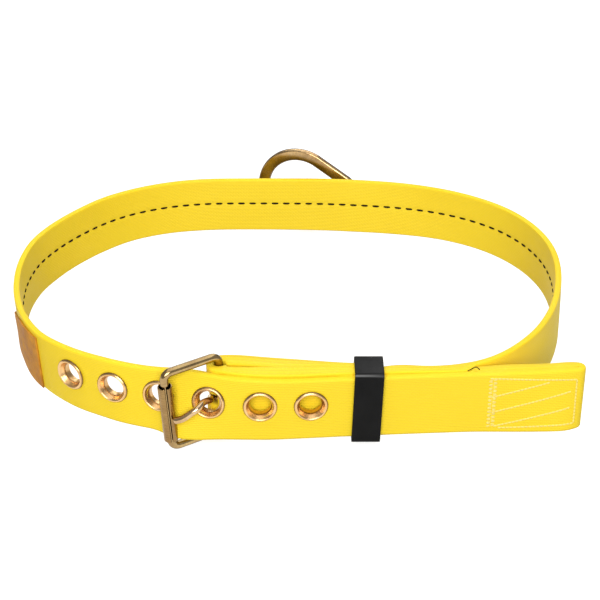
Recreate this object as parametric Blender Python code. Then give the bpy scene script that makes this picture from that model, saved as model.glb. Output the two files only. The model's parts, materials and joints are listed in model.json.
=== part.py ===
"""Safety body belt, fastened and standing on its edge.

One long strap of thick webbing makes the whole belt. It starts as a hem folded
round the buckle's hinge bar, runs right round the waist, comes back as the row
of grommets, passes behind the roller and over the hinge bar, and ends in a
folded, sewn tip in front of its own start. A leather patch covers the left
bend, a black keeper holds the free end, and a D ring hangs in a webbing loop
behind the back.

Lengths are in millimetres up to the mesh, which is in metres. +X is to the
wearer's left, +Y is to the wearer's back and +Z is up.
"""

import math

import bmesh
import bpy
import numpy as np
from mathutils import Matrix, Vector

MM = 0.001

# The webbing: a 1-3/4 inch strap, two plies thick, and what is shared by other pieces.
STRAP_WIDTH = 44.5
STRAP_THICK = 4.5
STRAP_EDGE = 0.9  # the rounding of its long edges
PLY_GAP = 0.3  # between layers that lie on each other
FOLD_SLACK = 1.9  # between the hinge bar and the hem's inside
STEP_LONG = 10.0  # most that two sections of the strap lie apart
STEP_TURN = 14.0  # degrees, most that the strap turns between two sections
TIP_CORNER = 3.0  # rounding of the free end's corners
FRONT = -133.5  # y just in front of the strap
BACK = 178.0  # y just behind it
SEWN_GAP = 0.35  # between the strap and a piece that is sewn on it
SOFT_EDGE = 0.5  # rounding of such a piece's edges
TURNED_SIDES = 24
WIRE_SIDES = 12

# The buckle: a round wire frame with a roller on its outer bar.
WIRE = 5.8
FRAME_LONG = 43.6
FRAME_TALL = 62.6
FRAME_CORNER = 5.0  # bend radius on the wire's middle
ROLLER_BAR_AT = (-83.7, -129.6, 21.3)  # middle of the bar that carries the roller
FRAME_YAW = 28.0  # degrees, hinge bar further back than the roller
FRAME_ROLL = 3.6  # degrees, top leaning to the left
ROLLER_OUTER = 9.3
ROLLER_WALL = 0.9
ROLLER_LONG = 41.5
ROLLER_BEVEL = 0.2
ROLLER_DROP = 1.4  # how far it has slid down its bar

# The tongue: a bent wire hooked round the hinge bar.
TONGUE_WIRE = 4.3
TONGUE_HOOK = 5.4  # radius of its hook on the wire's middle
TONGUE_OPENS = -110.0  # degrees round the hinge bar, where the hook's end lies
TONGUE_LEAVES = 157.0  # degrees round the hinge bar, where the shank leaves
TONGUE_HEIGHT = 23.4
TONGUE_REACH = 9.7  # from the hinge bar to where the shank crosses the grommets' layer
TONGUE_SIDES = 10
SLOT = (22.0, 18.0, 7.8)  # the hole that the hook needs in the hem: long, deep, tall

# Grommets: six eyelets at an even pitch, the fourth one on the tongue.
GROMMETS = 6
TONGUE_GROMMET = 4
GROMMET_PITCH = 32.6
GROMMET_HEIGHT = 25.8
GROMMET_OUTER = 21.8
GROMMET_HOLE = 13.6
GROMMET_BARREL = 15.0
GROMMET_DOME = 1.3
GROMMET_CLEAR = 0.85  # between a flat flange and the curved strap
HOLE_IN_STRAP = 15.8
HOLE_REACH = 4.0  # of its cutter, each way from the strap's middle
HOLE_SIDES = 20

# The keeper: a black loop round all the layers.
KEEPER_AT = 42.7
KEEPER_LONG = 18.4
KEEPER_WALL = 2.0
KEEPER_BOX = ((-131.4, -2.6), (-107.6, 49.6))  # outer (y, z) corners, front low and back high
KEEPER_CORNER = 4.0

# The patch: leather over the outer face of the left bend.
PATCH_THICK = 1.4
PATCH_ENDS_AT = (-171.0, -73.0)  # where its front edge crosses the strap
PATCH_LONG = 88.0
PATCH_HEIGHTS = (0.4, 42.0)

# The D ring and its webbing loop, behind the back.
RING_BAR_AT = (37.7, 19.7)  # x and z of the middle of its straight bar
RING_OFF = 8.8  # from the strap's outer face to that bar's middle
RING_WIDE = 9.3  # of the section, across the ring
RING_DEEP = 4.8
RING_BAR_HALF = 18.4  # half the bar, on the section's middle
RING_BOW = 30.0  # bow radius on the section's middle
RING_LONG = 40.0  # from the bar to the bow's centre
RING_CORNER = 5.1
RING_EDGE = 1.2  # rounding of its section
RING_SWING = 72.8  # degrees to the left of straight out
RING_RISE = 10.0  # degrees, outer end up
LOOP_WIDTH = 24.6
LOOP_THICK = 2.5
LOOP_INNER = 7.8
LOOP_WRAP = 32.0  # degrees that it closes on past a half turn, at each end
LOOP_FOOT = (15.0, 24.0)  # each way from the bar, where a foot starts and ends
LOOP_HEIGHT = 19.7

# The strap's middle line in plan. The columns are x, y and how far it is lifted.
HEM_TAIL = (
    (44.0, -114.4, 2.2),
    (25.0, -113.4, 2.4),
    (0.0, -110.2, 2.4),
    (-25.0, -106.8, 2.3),
)
LOOP = (
    (-25.0, -119.4, 2.3),
    (0.0, -119.0, 2.4),
    (25.0, -119.2, 2.4),
    (44.0, -119.6, 2.2),
    (60.0, -118.4, 2.0),
    (80.0, -117.6, 1.5),
    (100.0, -114.2, 1.0),
    (123.0, -104.0, 0.4),
    (145.0, -84.0, 0.1),
    (162.0, -59.5, 0.0),
    (182.0, 0.0, 0.0),
    (181.0, 65.5, 0.0),
    (144.5, 121.5, 0.0),
    (86.0, 149.5, 0.0),
    (28.0, 157.3, 0.0),
    (-28.0, 159.0, 0.0),
    (-89.0, 156.0, 0.0),
    (-150.0, 127.0, 0.0),
    (-190.5, 69.5, 0.0),
    (-198.6, 0.0, 0.0),
    (-176.5, -65.0, 0.0),
    (-124.0, -106.0, 0.0),
    (-84.0, -119.8, 0.0),
    (-59.0, -127.4, 0.0),
    (-26.0, -129.9, 0.0),
    (25.0, -126.6, 0.0),
    (77.0, -123.0, 0.0),
    (129.0, -119.9, 0.0),
)
TIP_AT = (176.5, -115.6)
TIP_TAIL = ((160.0, -112.6, 0.0), (122.0, -115.4, 0.0))

# The tongue's shank. The columns are outwards, to the right and up, from the
# middle of its grommet, then x, y and height from the roller bar's middle.
SHANK_IN_GROMMET = ((-0.5, 0.0, 0.2), (4.4, -0.9, -0.8))
SHANK_ON_ROLLER = ((17.5, -4.5, -1.6), (11.5, -5.2, -3.6), (6.2, -4.6, -5.1))

# A grommet's section. The columns are the edge and the level that a row starts
# from, then how far it lies from them, in shares of the dome's height.
GROMMET_SECTION = (
    ("hole", "back", 0.0, 0.4),
    ("hole", "crown", 0.0, -0.6),
    ("hole", "crown", 0.5, -0.1),
    ("hole", "crown", 1.2, 0.0),
    ("rim", "crown", -1.0, -0.25),
    ("rim", "face", 0.0, 0.2),
    ("rim", "face", 0.0, 0.0),
    ("barrel", "face", 0.0, 0.0),
    ("barrel", "under", 0.0, 0.0),
    ("rim", "under", 0.0, 0.0),
    ("rim", "under", 0.0, -0.4),
    ("rim", "back", -0.6, 0.0),
    ("hole", "back", 0.6, 0.0),
)

# The finishes. The columns are the colour, metallic and roughness.
COLOURS = {
    "webbing": ((0.90, 0.66, 0.02), 0.0, 0.75),
    "brass": ((0.62, 0.42, 0.16), 1.0, 0.3),
    "keeper_rubber": ((0.012, 0.012, 0.013), 0.0, 0.55),
    "leather": ((0.68, 0.30, 0.04), 0.0, 0.65),
}


def clear_scene():
    for old in list(bpy.data.objects):
        bpy.data.objects.remove(old)


def material(name):
    """A Principled material in one of the belt's four finishes."""
    made = bpy.data.materials.get(name)
    if made:
        return made
    colour, metallic, roughness = COLOURS[name]
    made = bpy.data.materials.new(name)
    made.use_nodes = True
    shader = made.node_tree.nodes["Principled BSDF"]
    shader.inputs["Base Color"].default_value = (*colour, 1)
    shader.inputs["Metallic"].default_value = metallic
    shader.inputs["Roughness"].default_value = roughness
    made.diffuse_color = (*colour, 1)
    return made


def finished_mesh(name, shape, finish):
    """Makes a mesh in metres from a bmesh that is in millimetres."""
    bmesh.ops.recalc_face_normals(shape, faces=shape.faces)
    bmesh.ops.scale(shape, vec=(MM, MM, MM), verts=shape.verts)
    mesh = bpy.data.meshes.new(name)
    shape.to_mesh(mesh)
    shape.free()
    mesh.materials.append(material(finish))
    mesh.shade_smooth()
    mesh.set_sharp_from_angle(angle=math.radians(35))
    return mesh


def add_object(name, mesh, at=(0, 0, 0), turned=None):
    """Puts a mesh into the scene, with its origin at a place in millimetres."""
    made = bpy.data.objects.new(name, mesh)
    made.location = Vector(at) * MM
    if turned:
        made.rotation_euler = turned.to_euler()
    bpy.context.scene.collection.objects.link(made)
    return made


def cut(target, cutter):
    """Takes a cutter away from an object, and keeps the cutter out of sight."""
    cutter.hide_render = True
    cutter.display_type = "WIRE"
    trim = target.modifiers.new("Cut " + cutter.name, "BOOLEAN")
    trim.object = cutter
    trim.operation = "DIFFERENCE"


def turn(degrees, axis):
    return Matrix.Rotation(math.radians(degrees), 3, axis)


def ring_points(radius, sides):
    angles = 2 * math.pi * np.arange(sides) / sides
    return np.c_[radius * np.cos(angles), radius * np.sin(angles)]


def rounded_box(half_x, half_y, radius, steps):
    """Corner points of a rounded rectangle round the origin, anticlockwise."""
    points = []
    for quarter in range(4):
        sx, sy = ((1, 1), (-1, 1), (-1, -1), (1, -1))[quarter]
        for step in range(steps + 1):
            angle = math.pi / 2 * (quarter + step / steps)
            points.append((
                sx * (half_x - radius) + radius * math.cos(angle),
                sy * (half_y - radius) + radius * math.sin(angle),
            ))
    return np.array(points)


def skin(sections, closed):
    """Joins equal sections, given as arrays of points, into one closed body."""
    shape = bmesh.new()
    rings = [[shape.verts.new(point) for point in section] for section in sections]
    pairs = list(zip(rings, rings[1:]))
    if closed:
        pairs.append((rings[-1], rings[0]))
    for one, other in pairs:
        count = len(one)
        for k in range(count):
            following = (k + 1) % count
            shape.faces.new((one[k], one[following], other[following], other[k]))
    if not closed:
        shape.faces.new(rings[0])
        shape.faces.new(rings[-1])
    return shape


def spun(profile):
    """A closed profile, given as radius and height, turned round the Z axis."""
    heights = np.array([height for _, height in profile])
    radii = np.array([radius for radius, _ in profile])
    return skin(
        [np.c_[np.outer(radii, ray), heights] for ray in ring_points(1, TURNED_SIDES)], True
    )


def carry(points, profile, closed, side=(0, 0, 1)):
    """Carries a flat profile along a path of points.

    The profile's first column starts along side, and is carried on from point
    to point square to the path.
    """
    points = np.asarray(points, float)
    if closed:
        along = np.roll(points, -1, 0) - np.roll(points, 1, 0)
    else:
        along = np.gradient(points, axis=0)
    along /= np.linalg.norm(along, axis=1)[:, None]
    sections = []
    first = np.array(side, float)
    for point, direction in zip(points, along):
        first = first - direction * first.dot(direction)
        first /= np.linalg.norm(first)
        second = np.cross(direction, first)
        sections.append(point + profile[:, :1] * first + profile[:, 1:] * second)
    return skin(sections, closed)


def spline(rows, fine=1.0):
    """A smooth curve through the rows, with a point about every fine millimetres.

    It is the natural cubic spline over the distance between rows, which has
    no jump in its bend.
    """
    rows = np.asarray(rows, float)
    knots = np.r_[0, np.cumsum(np.linalg.norm(np.diff(rows, axis=0), axis=1))]
    gaps = np.diff(knots)
    count = len(rows)
    system = np.eye(count)
    target = np.zeros_like(rows)
    for k in range(1, count - 1):
        system[k, k - 1 : k + 2] = gaps[k - 1], 2 * (gaps[k - 1] + gaps[k]), gaps[k]
        slopes = np.diff(rows[k - 1 : k + 2], axis=0) / gaps[k - 1 : k + 1, None]
        target[k] = 6 * (slopes[1] - slopes[0])
    bends = np.linalg.solve(system, target)
    at = np.linspace(0, knots[-1], int(knots[-1] / fine) + 1)
    span = np.clip(np.searchsorted(knots, at, side="right") - 1, 0, count - 2)
    h = gaps[span][:, None]
    before = (at - knots[span])[:, None]
    after = h - before
    return (
        (bends[span] * after**3 + bends[span + 1] * before**3) / (6 * h)
        + (rows[span] / h - bends[span] * h / 6) * after
        + (rows[span + 1] / h - bends[span + 1] * h / 6) * before
    )


def flat_arc(centre, radius, start, sweep, lift, steps=6):
    """Points of an arc in plan, for a fold of the strap or the tongue's hook."""
    angles = np.radians(start + sweep * np.arange(steps + 1) / steps)
    return [
        (centre[0] + radius * math.cos(a), centre[1] + radius * math.sin(a), lift)
        for a in angles
    ]


def frame_turn():
    """How the buckle stands: rolled in its own plane, then yawed."""
    return turn(FRAME_YAW, "Z") @ turn(-FRAME_ROLL, "Y")


def hinge_bar():
    """Middle of the buckle's hinge bar."""
    reach = Vector((FRAME_LONG - WIRE, 0, 0))
    return Vector(ROLLER_BAR_AT) + frame_turn() @ reach


def strap_route():
    """The strap's middle line, from the hem's tail to the tip's tail."""
    bar = hinge_bar()
    bar_fold = WIRE / 2 + FOLD_SLACK + STRAP_THICK / 2
    fold_lift = HEM_TAIL[-1][2]
    tip_fold = (STRAP_THICK + PLY_GAP) / 2
    tip_centre = (TIP_AT[0], TIP_AT[1] + tip_fold)
    rows = [
        *HEM_TAIL,
        *flat_arc((bar.x, bar.y), bar_fold, 90, 180, fold_lift),
        *LOOP,
        *flat_arc(tip_centre, tip_fold, -90, 180, 0.0),
        *TIP_TAIL,
    ]
    return spline(rows)


def lengths(route):
    return np.r_[0, np.cumsum(np.linalg.norm(np.diff(route[:, :2], axis=0), axis=1))]


def outward(route):
    """Unit normals of the route in plan, away from the waist."""
    along = np.gradient(route[:, :2], axis=0)
    along /= np.linalg.norm(along, axis=1)[:, None]
    return np.c_[along[:, 1], -along[:, 0]]


def place_on(route, where, late=False):
    """Index of the route's point nearest to where, in its second half if late."""
    away = np.linalg.norm(route[:, :2] - where, axis=1)
    if late:
        away[: len(away) // 2] = np.inf
    return int(away.argmin())


def thinned(route, first=0, last=None):
    """Indices of the sections that the strap needs: close in folds, wide in easy bends."""
    last = len(route) - 1 if last is None else last
    side = outward(route)
    heading = np.unwrap(np.arctan2(side[:, 1], side[:, 0]))
    at = lengths(route)
    kept = [first]
    for k in range(first + 1, last):
        turned = abs(heading[k + 1] - heading[kept[-1]])
        if turned > math.radians(STEP_TURN) or at[k + 1] - at[kept[-1]] > STEP_LONG:
            kept.append(k)
    return kept + [last]


def strap_sections(route, kept, width, thick, base=None, edge=STRAP_EDGE):
    """Upright rounded rectangles across the route, one at each kept point."""
    side = outward(route)
    profile = rounded_box(thick / 2, width / 2, edge, 1)
    tip = route[:, 0].max() + thick / 2
    sections = []
    for k in kept:
        x, y, lift = route[k]
        beyond = max(0.0, TIP_CORNER - (tip - x))
        shorter = TIP_CORNER - math.sqrt(TIP_CORNER**2 - beyond**2)
        squeeze = 1 - 2 * shorter / width
        middle = width / 2 + lift if base is None else base
        across = np.outer(profile[:, 0], side[k]) + (x, y)
        sections.append(np.c_[across, middle + profile[:, 1] * squeeze])
    return sections


def facing(out):
    """The turn that points a piece's own Z axis along a level direction."""
    return turn(math.degrees(math.atan2(out[1], out[0])), "Z") @ turn(90, "Y")


def grommet_places(route):
    """Middle point and outward direction of each grommet on the strap."""
    across = TONGUE_REACH * math.cos(math.radians(TONGUE_LEAVES))
    through = (hinge_bar().x + across, FRONT)
    middle = lengths(route)[place_on(route, through, late=True)]
    side = outward(route)
    places = []
    for number in range(1, GROMMETS + 1):
        at = middle + (number - TONGUE_GROMMET) * GROMMET_PITCH
        k = int(np.abs(lengths(route) - at).argmin())
        places.append((np.array([*route[k, :2], GROMMET_HEIGHT]), np.array([*side[k], 0])))
    return places


def hole_cutter(number, middle, out):
    shape = bmesh.new()
    radius = HOLE_IN_STRAP / 2
    bmesh.ops.create_cone(
        shape, cap_ends=True, segments=HOLE_SIDES, radius1=radius, radius2=radius,
        depth=2 * HOLE_REACH,
    )
    name = f"hole_cutter_{number}"
    return add_object(name, finished_mesh(name, shape, "webbing"), middle, facing(out))


def slot_cutter():
    shape = bmesh.new()
    bmesh.ops.create_cube(shape, size=1)
    bmesh.ops.scale(shape, vec=SLOT, verts=shape.verts)
    bar = hinge_bar()
    at = (bar.x - WIRE / 2, bar.y, TONGUE_HEIGHT)
    return add_object("slot_cutter", finished_mesh("slot_cutter", shape, "webbing"), at)


def make_strap(route, places):
    sections = strap_sections(route, thinned(route), STRAP_WIDTH, STRAP_THICK)
    mesh = finished_mesh("webbing_strap", skin(sections, False), "webbing")
    strap = add_object("webbing_strap", mesh)
    for number, (middle, out) in enumerate(places, 1):
        cut(strap, hole_cutter(number, middle, out))
    cut(strap, slot_cutter())


def make_grommets(places):
    """Turned eyelets with a dome in front, which share one mesh."""
    edges = {"hole": GROMMET_HOLE / 2, "barrel": GROMMET_BARREL / 2, "rim": GROMMET_OUTER / 2}
    face = STRAP_THICK / 2 + GROMMET_CLEAR
    crown = face + GROMMET_DOME
    levels = {"crown": crown, "face": face, "under": -face, "back": -crown}
    profile = [
        (edges[edge] + aside * GROMMET_DOME, levels[level] + above * GROMMET_DOME)
        for edge, level, aside, above in GROMMET_SECTION
    ]
    mesh = finished_mesh("grommet", spun(profile), "brass")
    for number, (middle, out) in enumerate(places, 1):
        add_object(f"grommet_{number}", mesh, middle, facing(out))


def make_frame():
    """The rounded rectangle of wire, with its origin on the roller's bar."""
    tall, wide = (FRAME_TALL - WIRE) / 2, (FRAME_LONG - WIRE) / 2
    outline = rounded_box(wide, tall, FRAME_CORNER, 4)
    path = np.c_[outline[:, 0] + wide, np.zeros(len(outline)), outline[:, 1]]
    shape = carry(path, ring_points(WIRE / 2, WIRE_SIDES), True, side=(0, 1, 0))
    mesh = finished_mesh("buckle_frame", shape, "brass")
    add_object("buckle_frame", mesh, ROLLER_BAR_AT, frame_turn())


def make_roller():
    """The tube on the frame's outer bar, with its origin in the middle of that bar."""
    outer = ROLLER_OUTER / 2
    inner = outer - ROLLER_WALL
    top, bottom = ROLLER_LONG / 2 - ROLLER_DROP, -ROLLER_LONG / 2 - ROLLER_DROP
    profile = (
        (inner, bottom),
        (outer - ROLLER_BEVEL, bottom),
        (outer, bottom + ROLLER_BEVEL),
        (outer, top - ROLLER_BEVEL),
        (outer - ROLLER_BEVEL, top),
        (inner, top),
    )
    mesh = finished_mesh("buckle_roller", spun(profile), "brass")
    add_object("buckle_roller", mesh, ROLLER_BAR_AT, frame_turn())


def make_tongue(places):
    """The tongue: hooked round the hinge bar, out through its grommet, onto the roller."""
    bar = hinge_bar()
    sweep = TONGUE_LEAVES - TONGUE_OPENS
    hook = flat_arc((bar.x, bar.y), TONGUE_HOOK, TONGUE_OPENS, sweep, TONGUE_HEIGHT, steps=9)
    middle, out = places[TONGUE_GROMMET - 1]
    inside = [middle + out * far + (right, 0, up) for far, right, up in SHANK_IN_GROMMET]
    onto = [np.add(ROLLER_BAR_AT, row) for row in SHANK_ON_ROLLER]
    path = spline([*hook, *inside, *onto], fine=1.6)
    shape = carry(path, ring_points(TONGUE_WIRE / 2, TONGUE_SIDES), False)
    add_object("buckle_tongue", finished_mesh("buckle_tongue", shape, "brass"))


def make_keeper():
    """A rounded rectangular loop along X, with its origin at its middle."""
    (front, low), (back, high) = KEEPER_BOX
    half_y, half_z = (back - front) / 2, (high - low) / 2
    half_x = KEEPER_LONG / 2
    outer = rounded_box(half_y, half_z, KEEPER_CORNER, 3)
    inner = rounded_box(
        half_y - KEEPER_WALL, half_z - KEEPER_WALL, KEEPER_CORNER - KEEPER_WALL, 3
    )
    sections = [
        [(-half_x, oy, oz), (half_x, oy, oz), (half_x, iy, iz), (-half_x, iy, iz)]
        for (oy, oz), (iy, iz) in zip(outer, inner)
    ]
    mesh = finished_mesh("keeper", skin(sections, True), "keeper_rubber")
    add_object("keeper", mesh, (KEEPER_AT, (front + back) / 2, (low + high) / 2))


def make_patch(route):
    """A strip of leather that follows the strap's outer face round the left bend."""
    shifted = route.copy()
    shifted[:, :2] += outward(route) * ((STRAP_THICK + PATCH_THICK) / 2 + SEWN_GAP)
    last = place_on(shifted, PATCH_ENDS_AT, late=True)
    at = lengths(route)
    first = int(np.abs(at - (at[last] - PATCH_LONG)).argmin())
    low, high = PATCH_HEIGHTS
    sections = strap_sections(
        shifted, thinned(shifted, first, last), high - low, PATCH_THICK,
        base=(low + high) / 2, edge=SOFT_EDGE,
    )
    mesh = finished_mesh("leather_patch", skin(sections, False), "leather")
    add_object("leather_patch", mesh)


def ring_axis(route):
    """Middle of the D ring's bar, and the outward direction of the strap there."""
    x, z = RING_BAR_AT
    k = place_on(route, (x, BACK))
    out = np.array([*outward(route)[k], 0])
    middle = np.array([*route[k, :2], z]) + out * (STRAP_THICK / 2 + RING_OFF)
    return middle, out


def make_ring(route):
    """A flat-sided D: a straight bar, two legs that spread a little, and a round bow.

    It is drawn in its own XZ plane with its origin in the middle of the bar,
    which is the axis that it swings about.
    """
    spread = math.asin((RING_BOW - RING_BAR_HALF) / RING_LONG)
    bow = [
        (RING_LONG + RING_BOW * math.cos(a), RING_BOW * math.sin(a))
        for a in np.linspace(math.pi / 2 + spread, -math.pi / 2 - spread, 17)
    ]
    straight = RING_BAR_HALF - RING_CORNER
    corner = [
        (RING_CORNER * (1 - math.cos(a)), straight + RING_CORNER * math.sin(a))
        for a in np.linspace(0, math.pi / 2 - spread, 5)
    ]
    other_corner = [(reach, -height) for reach, height in reversed(corner)]
    path = [(reach, 0, height) for reach, height in (*corner, *bow, *other_corner)]
    profile = rounded_box(RING_DEEP / 2, RING_WIDE / 2, RING_EDGE, 1)
    mesh = finished_mesh("d_ring", carry(path, profile, True, side=(0, 1, 0)), "brass")
    swung = turn(90 + RING_SWING, "Z") @ turn(-RING_RISE, "Y")
    add_object("d_ring", mesh, ring_axis(route)[0], swung)


def make_ring_loop(route):
    """A webbing loop round the D ring's bar, with a foot each way on the strap's outer face.

    Its rows are distances along the strap and out from it, both from the
    bar's middle. A foot also follows the strap where that bends away.
    """
    middle, out = ring_axis(route)
    along = np.cross((0, 0, 1), out)
    radius = LOOP_INNER + LOOP_THICK / 2
    foot = SEWN_GAP + LOOP_THICK / 2 - RING_OFF
    near, far = LOOP_FOOT
    rows = [(-far, foot), (-near, foot)]
    for a in np.radians(np.linspace(180 + LOOP_WRAP, -LOOP_WRAP, 12)):
        rows.append((radius * math.cos(a), radius * math.sin(a)))
    rows += [(near, foot), (far, foot)]
    outer_face = route[:, :2] + outward(route) * STRAP_THICK / 2
    path = []
    for aside, off in rows:
        point = middle + along * aside + out * off
        if abs(aside) > radius:
            nearest = outer_face[place_on(outer_face, (middle + along * aside)[:2])]
            point += out * ((nearest - middle[:2]) @ out[:2] + RING_OFF)
        path.append(point)
    path = spline(path, fine=2.0)
    path[:, 2] = LOOP_HEIGHT
    profile = rounded_box(LOOP_WIDTH / 2, LOOP_THICK / 2, SOFT_EDGE, 1)
    add_object("ring_loop", finished_mesh("ring_loop", carry(path, profile, False), "webbing"))


def stand_on_floor():
    """Moves the whole belt so that its lowest point is at height 0 over the middle."""
    bpy.context.view_layer.update()
    shown = [obj for obj in bpy.data.objects if not obj.hide_render]
    points = np.array([obj.matrix_world @ v.co for obj in shown for v in obj.data.vertices])
    low, high = points.min(0), points.max(0)
    shift = Vector((-(low[0] + high[0]) / 2, -(low[1] + high[1]) / 2, -low[2]))
    for obj in bpy.data.objects:
        obj.location += shift


def main():
    clear_scene()
    route = strap_route()
    places = grommet_places(route)
    make_strap(route, places)
    make_grommets(places)
    make_frame()
    make_roller()
    make_tongue(places)
    make_keeper()
    make_patch(route)
    make_ring(route)
    make_ring_loop(route)
    stand_on_floor()


main()
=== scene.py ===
# %% [markdown]
# A safety body belt
#
# A fastened belt of thick yellow webbing stands on its edge, with a roller buckle, six eyelets, a
# black keeper, a leather patch and a D ring behind. The fixed frame holds the real sizes and the
# moving bodies. Nearly every piece is a profile carried along a line, so most cells write these
# two as numpy arrays, and one short helper turns them into a mesh.

# %% Load the fixed frame
import json
import math

import bpy
import numpy as np
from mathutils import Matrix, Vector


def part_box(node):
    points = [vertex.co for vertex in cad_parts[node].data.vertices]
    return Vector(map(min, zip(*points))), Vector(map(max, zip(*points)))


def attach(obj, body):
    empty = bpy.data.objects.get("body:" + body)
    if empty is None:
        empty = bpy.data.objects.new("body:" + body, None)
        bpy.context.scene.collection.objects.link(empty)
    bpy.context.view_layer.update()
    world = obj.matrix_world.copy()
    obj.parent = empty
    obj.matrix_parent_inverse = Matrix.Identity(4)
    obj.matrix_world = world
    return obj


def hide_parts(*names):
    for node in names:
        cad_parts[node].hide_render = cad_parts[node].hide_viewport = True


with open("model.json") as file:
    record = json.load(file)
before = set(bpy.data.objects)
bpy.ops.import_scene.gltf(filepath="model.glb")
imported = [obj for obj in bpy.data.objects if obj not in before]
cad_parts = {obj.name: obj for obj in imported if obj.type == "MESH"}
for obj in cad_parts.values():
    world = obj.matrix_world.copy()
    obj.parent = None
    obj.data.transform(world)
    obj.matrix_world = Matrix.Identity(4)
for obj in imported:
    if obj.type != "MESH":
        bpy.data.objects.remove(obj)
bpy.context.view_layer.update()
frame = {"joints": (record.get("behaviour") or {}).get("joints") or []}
MM = 0.001
joint_at = {joint["name"]: np.array(joint["pos_m"]) / MM for joint in frame["joints"]}

# %% [markdown]
# The drawing's own axes
#
# The belt was drawn in millimetres, with its strap's lower edge at height 0, and then moved onto
# the floor over the origin. The sizes below are the drawing's. The keeper's corner in the drawing
# and in the frame gives the move.

# %% Find the drawing's place in the frame
KEEPER_CORNER = np.array((33.5, -131.4, -2.6))
drawing_at = np.array(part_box("keeper")[0]) / MM - KEEPER_CORNER
print("the drawing's origin lies at", np.round(drawing_at, 2), "mm")

# %% [markdown]
# Camera and floor
#
# The photograph looks down by about 30 degrees from a metre away, through a lens that keeps the
# far side only a little smaller. The floor is one large pale plane.

# %% Place the camera and lay the floor
CAMERA_AT = np.array((0.0, -881.81, 546.61))
CAMERA_DOWN = 30.53  # degrees below level
LENS, FLOOR_HALF = 86.68, 6.0


def show(name, data):
    """Puts a camera, lamp or mesh into the scene as an object."""
    made = bpy.data.objects.new(name, data)
    bpy.context.scene.collection.objects.link(made)
    return made


camera = show("camera", bpy.data.cameras.new("camera"))
camera.location = (CAMERA_AT + drawing_at) * MM
camera.rotation_euler = (math.radians(90 - CAMERA_DOWN), 0, 0)
camera.data.lens = LENS
bpy.context.scene.camera = camera
bpy.context.scene.view_settings.view_transform = "Standard"

floor_mesh = bpy.data.meshes.new("floor")
floor_corners = np.array(((-1, -1, 0), (1, -1, 0), (1, 1, 0), (-1, 1, 0))) * FLOOR_HALF
floor_mesh.from_pydata(floor_corners, [], [(0, 1, 2, 3)])
floor = show("floor", floor_mesh)
print("camera at", np.round(camera.location, 3))

# %% [markdown]
# From a grid of points to a mesh
#
# A grid has rows along a piece and columns round it, and each of its cells becomes a face. A
# closed skin should face outwards. The small pyramids between the origin and every face sum to
# the volume, which is negative when the skin is inside out, and then the helper turns the faces
# round.

# %% A helper that skins a grid
def quads(rows, columns, ring):
    """Corner numbers of the faces of a tube's grid. ring joins the last row to the first."""
    i, j = np.indices((rows if ring else rows - 1, columns))
    below, beside = (i + 1) % rows * columns, (j + 1) % columns
    corners = (i * columns + j, i * columns + beside, below + beside, below + j)
    return np.stack(corners, -1).reshape(-1, 4), i.ravel(), j.ravel()


def volume(points, faces):
    """Six times the volume: the sum of a . (b x c) over the two triangles of each face."""
    a, b, c, d = (points[faces[:, k]] for k in range(4))
    return (np.cross(b, c) * a).sum() + (np.cross(c, d) * a).sum()


def add_piece(name, points, polygons, body, finish):
    """Makes a smooth piece from points in metres and their faces."""
    mesh = bpy.data.meshes.new(name)
    mesh.from_pydata(points, [], polygons)
    mesh.materials.append(finish)
    mesh.shade_smooth()
    piece = show(name, mesh)
    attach(piece, body)
    return piece


def skin(name, grid, finish, body="belt", ring=False, along=None, across=None):
    """Makes a piece from a grid of points in the drawing's millimetres. along and across,
    the distances of rows and columns and of the way back, become the UV map, in metres."""
    rows, columns = grid.shape[:2]
    points = (grid.reshape(-1, 3) + drawing_at) * MM
    faces, i, j = quads(rows, columns, ring)
    way = -1 if volume(points, faces) < 0 else 1
    polygons = faces[:, ::way].tolist()
    if not ring:
        first = np.arange(columns)[::way]
        polygons += [first[::-1].tolist(), (first + (rows - 1) * columns).tolist()]
    piece = add_piece(name, points, polygons, body, finish)
    if along is not None:
        u, v = along[i[:, None] + (0, 0, 1, 1)], across[j[:, None] + (0, 1, 1, 0)]
        corners = np.stack([u, v], -1)[:, ::way]
        places = np.zeros((len(piece.data.loops), 2), np.float32)
        places[: corners.size // 2] = corners.reshape(-1, 2) * MM
        piece.data.uv_layers.new(name="UVMap").uv.foreach_set("vector", places.ravel())
    return piece


# %% [markdown]
# Lines and profiles
#
# A natural spline is the curve of a thin springy strip bent through a few pegs, and webbing does
# just that. Bent wire needs only a closed outline with round corners. A sweep then places the
# profile at every station, square to the line: its first number goes sideways and its second
# along the line's own normal.

# %% Helpers for lines and profiles
def length(rows):
    return np.linalg.norm(rows, axis=-1)


def unit(rows):
    return rows / length(rows)[..., None]


def distances(points):
    """Distance of every point of a line from its first, along the line."""
    return np.r_[0, np.cumsum(length(np.diff(points, axis=0)))]


def at_distances(at, knots, points):
    """Points at distances along a line, given where its own points lie."""
    return np.stack([np.interp(at, knots, column) for column in points.T], -1)


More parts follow.
